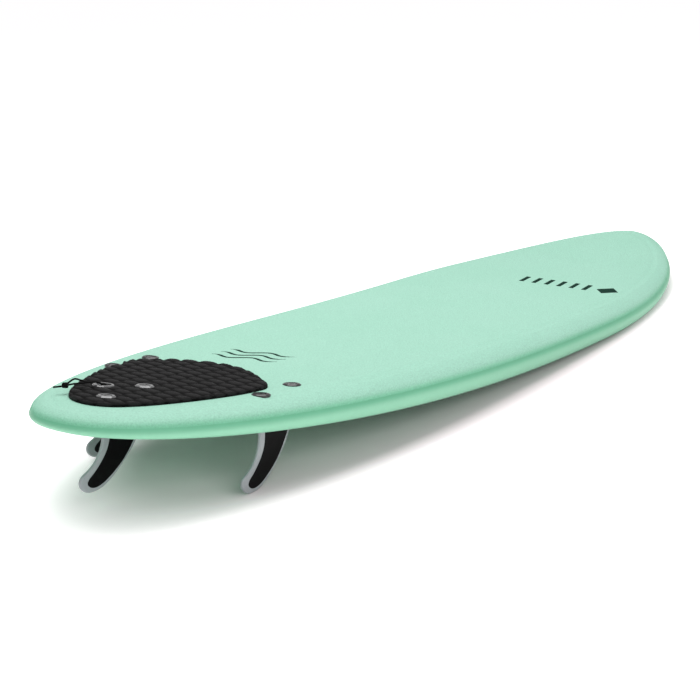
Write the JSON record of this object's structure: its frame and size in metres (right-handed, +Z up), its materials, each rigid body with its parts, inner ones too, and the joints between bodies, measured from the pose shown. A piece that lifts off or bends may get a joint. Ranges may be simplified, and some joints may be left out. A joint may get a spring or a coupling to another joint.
{
  "type": "surfboard",
  "caption": "Soft-top thruster surfboard: foam deck over a foam core, bumped tail pad, bolted raked fins, leash plug with knotted string.",
  "frame": {"origin": "centre of the footprint on the floor, with the board resting on its two side fins and its belly", "axes": "+X from tail to nose, +Y to the side that carries the leash plug, +Z up out of the deck"},
  "size_m": [2.1335, 0.5581, 0.1965],
  "materials": {
    "deck_foam": "mint closed-cell foam sheet with a fine speckled skin",
    "slick_bottom": "smooth mint polyethylene sheet",
    "eps_foam": "white expanded foam",
    "plywood": "thin plywood strip",
    "eva_pad": "black EVA foam with lens-shaped bumps",
    "black_plug": "black moulded nylon, satin",
    "bolt": "black moulded nylon bolt",
    "brass": "machined",
    "fin_core": "black moulded nylon",
    "fin_edge": "grey translucent soft moulding",
    "steel_bar": "stainless pin",
    "string": "braided polyester string"
  },
  "bodies": {
    "root": {"bolt_insert_centre_front": "brass", "bolt_insert_centre_rear": "brass", "bolt_insert_left_front": "brass", "bolt_insert_left_rear": "brass", "bolt_insert_right_front": "brass", "bolt_insert_right_rear": "brass", "bottom_skin": "slick_bottom", "deck_plug_centre_front": "black_plug", "deck_plug_centre_rear": "black_plug", "deck_plug_left_front": "black_plug", "deck_plug_left_rear": "black_plug", "deck_plug_right_front": "black_plug", "deck_plug_right_rear": "black_plug", "deck_skin": "deck_foam", "fin_bolt_centre_front": "bolt", "fin_bolt_centre_rear": "bolt", "fin_bolt_left_front": "bolt", "fin_bolt_left_rear": "bolt", "fin_bolt_right_front": "bolt", "fin_bolt_right_rear": "bolt", "fin_core_centre": "fin_core", "fin_core_left": "fin_core", "fin_core_right": "fin_core", "fin_edge_centre": "fin_edge", "fin_edge_left": "fin_edge", "fin_edge_right": "fin_edge", "foam_core": "eps_foam", "leash_bar": "steel_bar", "leash_hitch": "string", "leash_knot": "string", "leash_plug": "black_plug", "leash_strand_lower": "string", "leash_strand_upper": "string", "leash_string_end": "string", "stringer_left": "plywood", "stringer_right": "plywood", "tail_pad": "eva_pad"}
  },
  "joints": []
}
